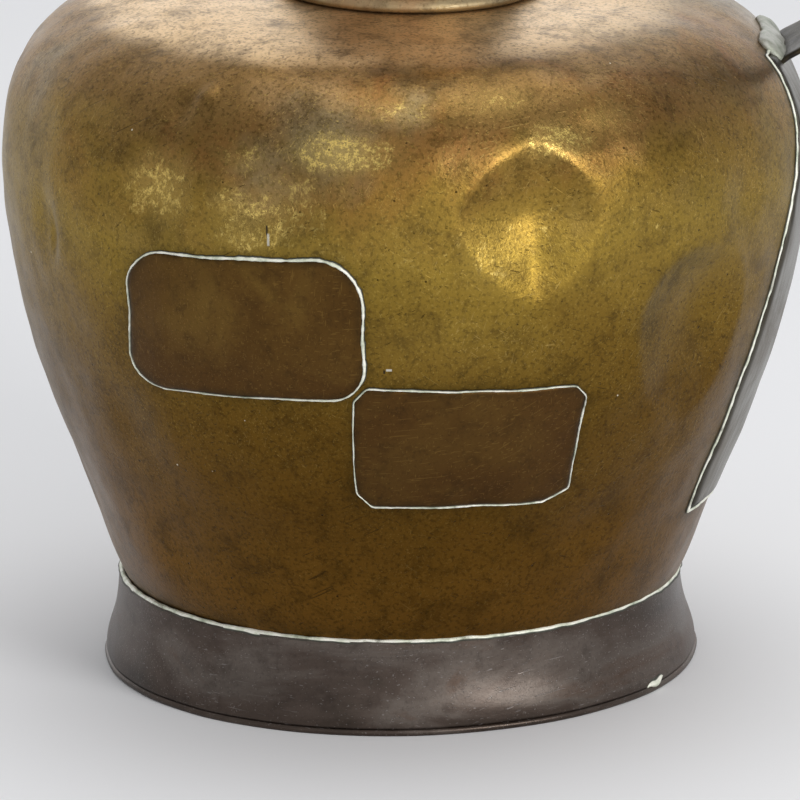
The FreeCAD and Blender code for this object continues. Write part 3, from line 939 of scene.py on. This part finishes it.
def build_foot():
    """The flared ring, a little hollow half-way up."""
    rows, normals, offsets = shell_rows(smooth_curve(foot_outline, 40), 40, 12, sheet)
    loop = rows + normals * offsets[:, None]
    hollow_depth, hollow_height, hollow_reach = 0.42 * mm, 18 * mm, 7 * mm
    loop[:, 0] -= hollow_depth * np.exp(-(((loop[:, 1] - hollow_height) / hollow_reach) ** 2))
    foot_piece("foot", "foot_ring", loop, 0.30 * mm)


def build_rolled_edge():
    """The wire edge, worn flat where the jug stands on it."""
    wire_radius, worn = 1.5 * mm, 0.3 * mm
    corner = np.linspace(0, 2 * math.pi, 16, endpoint=False)
    loop = np.stack([
        foot_outline[0, 0] - sheet / 2 + wire_radius * np.cos(corner),
        np.maximum(wire_radius - worn + wire_radius * np.sin(corner), 0),
    ], axis=1)
    foot_piece("foot_rolled_edge", "foot_edge_wire", loop, 0.25 * mm)


def build_seam():
    """The level run of solder between body and foot, further out where the leaning body comes lower."""
    count = 1400
    angle = np.linspace(0, 2 * math.pi, count, endpoint=False)
    wander = uneven(count, 0.5, 41) - 1
    reach = (0.3 + 0.9 * np.clip(np.sin(angle), 0, 1)) * mm
    path = around(angle, seam_radius + reach, foot_height + (0.2 + 0.3 * wander) * mm)
    normal = around(angle, np.full(count, 0.55), np.full(count, 0.83))
    bead("foot_seam_solder", "foot_solder_seam", solder, path, normal,
         1.9 * mm * uneven(count, 0.20, 42), 0.8 * mm * uneven(count, 0.25, 43), leaned=False)


def build_drip():
    """The run of solder on the foot's lower edge, at the front right."""
    count = 40
    along = np.linspace(0, 1, count)
    angle = math.radians(58) + (along - 0.5) * 0.10
    height = (2.6 + 1.6 * along + 0.5 * np.sin(9 * along)) * mm
    path = around(angle, np.full(count, foot_outline[0, 0] + 0.2 * mm), height)
    normal = around(angle, np.full(count, 1.0), np.zeros(count))
    swell = np.sin(math.pi * np.clip(along, 0.03, 0.97)) ** 0.6
    bead("foot_drip", "foot_solder_drip", solder, path, normal,
         2.8 * mm * swell, 1.5 * mm * swell, closed=False, leaned=False)


build_foot()
build_rolled_edge()
build_seam()
build_drip()


# ---------------------------------------------------------------- plate and handle
def build_plate():
    sheet_piece("back_plate", "handle_back_plate", "plate_metal", plate_metal, plate_loop(0), side_angle,
                sheet, 0.0, 48, 110)
    loop = wobbly(plate_loop(1.2 * mm), 0.25 * mm, 51)
    solder_line("plate_solder", "back_plate_solder", loop, side_angle, 0.15 * mm,
                1.1 * mm, 0.8 * mm, (0.3, 0.25), 52)


def neck_radius_at(height):
    return np.interp(height, neck_curve[:, 1], neck_curve[:, 0])


neck_curve = smooth_curve(neck_outline, 400)
root_z = neck_base - 28 * mm
strap_end_z = neck_base + 0.60 * neck_height
strap_thickness = 2.6 * mm


def strap_line():
    """The strap's middle line in the XZ plane: up the plate, out, over and down onto the neck."""
    arc = [  # share of the body's radius, and height over the root in mm
        (0.925, 1.6), (0.940, 3.9), (0.964, 6.4), (1.030, 13.0), (1.120, 24.5), (1.210, 45),
        (1.245, 75), (1.190, 106), (1.040, 130), (0.820, 139), (0.590, 133), (0.400, 120),
    ]
    points = [(share * body_radius, root_z + rise * mm) for share, rise in arc]
    neck_off = 1.8 * mm + strap_thickness / 2
    for rise in (5.0, -4.0, -11.0, -19.0):
        height = strap_end_z + rise * mm
        points.append((neck_radius_at(height) + neck_off, height))
    return smooth_curve(points, 220)


def build_strap():
    """The strap: rounded edges, wider at its root, bowed to the body and to the neck at its two ends."""
    line = strap_line()
    count = len(line)
    along = unit(np.gradient(line, axis=0))
    out = np.stack([along[:, 1], -along[:, 0]], axis=1)
    share = np.linspace(0, 1, count)
    root_width, strap_width, edge_width = 24 * mm, 18.5 * mm, 0.8 * mm
    width = np.interp(share, [0, 0.06, 0.22, 1.0], [root_width, root_width, strap_width, strap_width])
    width = width * (1 + 0.012 * np.sin(share * 37))
    to_body = np.clip(1 - (line[:, 1] - root_z) / (24 * mm), 0, 1) ** 2 * (share < 0.4)
    to_neck = np.clip((share - 0.86) / 0.08, 0, 1) ** 2
    bow = to_body / (2 * 0.95 * body_radius) + to_neck / (2 * neck_radius_at(strap_end_z))
    flat = np.linspace(-1, 1, 17)
    y = np.concatenate([flat, flat[::-1]])
    side = np.repeat([1.0, -1.0], len(flat))
    across = y * width[:, None]
    edge = (1 - np.abs(y)) * width[:, None]
    off = side * strap_thickness / 2 * rounded_edge(edge, edge_width, 0.45) - bow[:, None] * across ** 2
    middle = np.stack([line[:, :1] + 0 * across, across, line[:, 1:] + 0 * across], axis=-1)
    off = off + 0.25 * mm * waves(middle, 0.07, 0.03, 10, 61)
    points = np.stack([line[:, :1] + out[:, :1] * off, across, line[:, 1:] + out[:, 1:] * off], axis=-1)
    faces = np.concatenate([grid_faces(count, len(y), False, True)] + end_caps(len(y), count))
    rim = np.clip(1.25 - np.clip(edge / edge_width, 0, 1), 0, 1)
    make_piece("strap", "handle_strap", "strap_metal", strap_metal, lean(points), faces, rim=rim)


def build_root_solder():
    """The puddle of solder over the plate's top edge and the strap's root."""
    low, high, half = root_z + 1.0 * mm, root_z + 11.5 * mm, 25 * mm
    corners = [(-half, low), (half, low), (half - 3 * mm, high), (3 * mm - half, high)]
    loop = wobbly(rounded_loop(corners, [4 * mm] * 4, 0.8 * mm), 0.8 * mm, 63)
    sheet_piece("strap_root_solder", "handle_root_solder", "solder", grey_solder, loop, side_angle,
                sheet + 1.6 * mm, 0.6 * mm, 64, 26, 0.35 * mm)


def neck_pad_points(y, height, offset):
    """Points that hug the neck on the handle's side."""
    radius = neck_radius_at(height) + offset
    angle = math.pi / 2 + np.arcsin(y / radius)
    return around(angle, radius, height)


def build_saddle():
    """The plate under the strap's upper end."""
    low, high, half = strap_end_z - 24 * mm, strap_end_z + 14 * mm, 24 * mm
    corners = [(-half, low), (half, low), (half, high), (-half, high)]
    places, edge = sheet_grid(rounded_loop(corners, [5 * mm] * 4, 0.8 * mm), 40, 34)
    side, height = places[..., 0], places[..., 1]
    top = neck_pad_points(side, height, 1.6 * mm * rounded_edge(edge, 1.5 * mm, 0.4))
    under = neck_pad_points(side, height, -0.1 * mm)
    rim = np.clip(1 - edge / (3 * mm), 0, 1)
    closed_sheet("strap_saddle", "handle_top_saddle", "strap_metal", strap_metal, top, under, rim)


def build_top_solder():
    """The solder across the strap's upper end, thin at both of its own ends."""
    count = 90
    side = np.linspace(-17, 17, count) * mm
    height = np.full(count, strap_end_z + 5.0 * mm)
    path = neck_pad_points(side, height, 2.2 * mm)
    normal = unit(neck_pad_points(side, height, 3.2 * mm) - path)
    end = np.clip(np.minimum(np.arange(count), np.arange(count)[::-1]) / 8, 0.15, 1) ** 0.5
    bead("strap_top_solder", "handle_top_solder", solder, path, normal,
         7.0 * mm * end * uneven(count, 0.25, 81), 2.2 * mm * end * uneven(count, 0.4, 82), closed=False)


build_plate()
build_strap()
build_root_solder()
build_saddle()
build_top_solder()

# ---------------------------------------------------------------- the neck
lip_reach, lip_start, lip_width = 13.0 * mm, 0.60, 0.42


def with_lip(angle, radius, height):
    """The radius with the pouring lip pulled out opposite the handle."""
    share = (height - neck_base) / neck_height
    growth = np.clip((share - lip_start) / (1 - lip_start), 0, 1) ** 2
    from_lip = turn_from(angle, -math.pi / 2)
    return radius + lip_reach * growth * np.exp(-((from_lip / lip_width) ** 2))


def neck_piece(name, node, loop, ripple, seed, rubbed):
    turned_piece(name, node, "neck_metal", neck_metal, loop, ripple, 320, (0.09, 0.025), seed,
                 with_lip, True, rubbed=rubbed)


def build_neck():
    """The neck's sheet, rubbed towards the mouth."""
    rows, normals, offsets = shell_rows(neck_curve, 90, 40, sheet)
    loop = rows + normals * offsets[:, None]
    share = (loop[:, 1] - neck_base) / neck_height
    neck_piece("neck_tube", "neck", loop, 0.25 * mm, 91, 0.15 + 0.5 * np.clip(share - 0.8, 0, 1) * 5)


def build_collar():
    """The rounded band at the base of the neck; its shape is in shares of its size."""
    size = 6.0 * mm
    shape = np.array([(0, 0), (0.83, 0), (1, 0.23), (0.93, 0.53), (0.67, 0.80), (0, 0.97)])
    shape = shape * size + (neck_radius, neck_base + 0.4 * mm)
    loop = np.concatenate([shape[:1], smooth_curve(shape[1:], 16)])
    neck_piece("collar", "neck_collar", loop, 0.15 * mm, 92, np.zeros(len(loop)))


def build_rim():
    """The rounded band at the mouth."""
    low, high = neck_base + neck_height - 5.0 * mm, neck_base + neck_height - 0.1 * mm
    band = []
    for t in np.linspace(-math.pi / 2, math.pi / 2, 10):
        height = (low + high) / 2 + (high - low) / 2 * math.sin(t)
        band.append((neck_radius_at(height) + 2.2 * mm * math.cos(t) ** 0.5, height))
    inner = [(neck_radius_at(h) - 0.6 * mm, h) for h in np.linspace(high, low, 5)[1:-1]]
    loop = np.array(band + inner)
    neck_piece("rim", "rim_band", loop, 0.12 * mm, 91, np.full(len(loop), 0.8))


build_neck()
build_collar()
build_rim()

# ---------------------------------------------------------------- the hidden base keeps its CAD shape
for node, material in (("base_plate", body_metal), ("base_plate_solder", solder)):
    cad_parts[node].data.materials.clear()
    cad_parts[node].data.materials.append(material)


# ---------------------------------------------------------------- floor, light and camera
def plain(name, colour, roughness):
    p = Paint(name)
    p.feed(p.shader.inputs["Base Color"], colour)
    p.feed(p.shader.inputs["Roughness"], roughness)
    return p.material


def build_floor():
    reach = 30 * body_radius
    mesh = bpy.data.meshes.new("floor")
    corners = [(-reach, -reach, 0), (reach, -reach, 0), (reach, reach, 0), (-reach, reach, 0)]
    mesh.from_pydata(corners, [], [(0, 1, 2, 3)])
    mesh.materials.append(plain("pale_floor", (0.86, 0.86, 0.87, 1), 0.85))
    floor = bpy.data.objects.new("floor", mesh)
    bpy.context.scene.collection.objects.link(floor)


def soft_light(name, place, size, power, target=(0, 0, 0.15)):
    data = bpy.data.lights.new(name, "AREA")
    data.shape = "DISK"
    data.size = size
    data.energy = power
    light = bpy.data.objects.new(name, data)
    light.location = place
    light.rotation_euler = (Vector(target) - Vector(place)).to_track_quat("-Z", "Y").to_euler()
    bpy.context.scene.collection.objects.link(light)


def weighted_sum(tree, start, terms):
    """Nodes that add each (source, weight) product to a starting value."""
    total = start
    for source, weight in terms:
        node = tree.nodes.new("ShaderNodeMath")
        node.operation = "MULTIPLY_ADD"
        tree.links.new(source, node.inputs[0])
        node.inputs[1].default_value = weight
        if total is start:
            node.inputs[2].default_value = start
        else:
            tree.links.new(total, node.inputs[2])
        total = node.outputs[0]
    return total


def studio():
    """A pale room that is brighter behind the jug than in front of it and dimmer overhead and to the
    sides, and soft lights.
    """
    world = bpy.data.worlds.new("studio")
    bpy.context.scene.world = world
    world.use_nodes = True
    tree = world.node_tree
    background = tree.nodes["Background"]
    background.inputs["Color"].default_value = (0.97, 0.98, 1.0, 1)
    direction = tree.nodes.new("ShaderNodeTexCoord")
    split = tree.nodes.new("ShaderNodeSeparateXYZ")
    tree.links.new(direction.outputs["Generated"], split.inputs[0])
    sideways = tree.nodes.new("ShaderNodeMath")
    sideways.operation = "ABSOLUTE"
    tree.links.new(split.outputs[0], sideways.inputs[0])
    level, to_the_sides, to_the_back, upwards = 1.40, -0.78, 0.24, -0.55
    strength = weighted_sum(tree, level, [
        (sideways.outputs[0], to_the_sides), (split.outputs[1], to_the_back), (split.outputs[2], upwards),
    ])
    tree.links.new(strength, background.inputs["Strength"])
    soft_light("top_soft", (0.2, 0.3, 2.4), 1.5, 9)
    soft_light("front_soft", (1.35, -1.65, 1.05), 1.0, 22)


def build_camera():
    """Long lens, a little above the jug, rolled very slightly as the picture is."""
    distance, elevation, roll = 22.549 * body_radius, math.radians(15.506), math.radians(-0.8)
    look_at = Vector((0, 0, 0.6475 * body_radius))
    data = bpy.data.cameras.new("camera")
    data.sensor_width = 36
    data.lens = 405
    data.clip_start, data.clip_end = 0.1, 60
    data.shift_x = 0.0035
    camera = bpy.data.objects.new("camera", data)
    back = Vector((0, -math.cos(elevation), math.sin(elevation)))
    camera.location = look_at + back * distance
    turned = (-back).to_track_quat("-Z", "Y") @ Euler((0, 0, roll)).to_quaternion()
    camera.rotation_euler = turned.to_euler()
    bpy.context.scene.collection.objects.link(camera)
    bpy.context.scene.camera = camera


build_floor()
studio()
build_camera()
bpy.context.scene.view_settings.view_transform = "Standard"
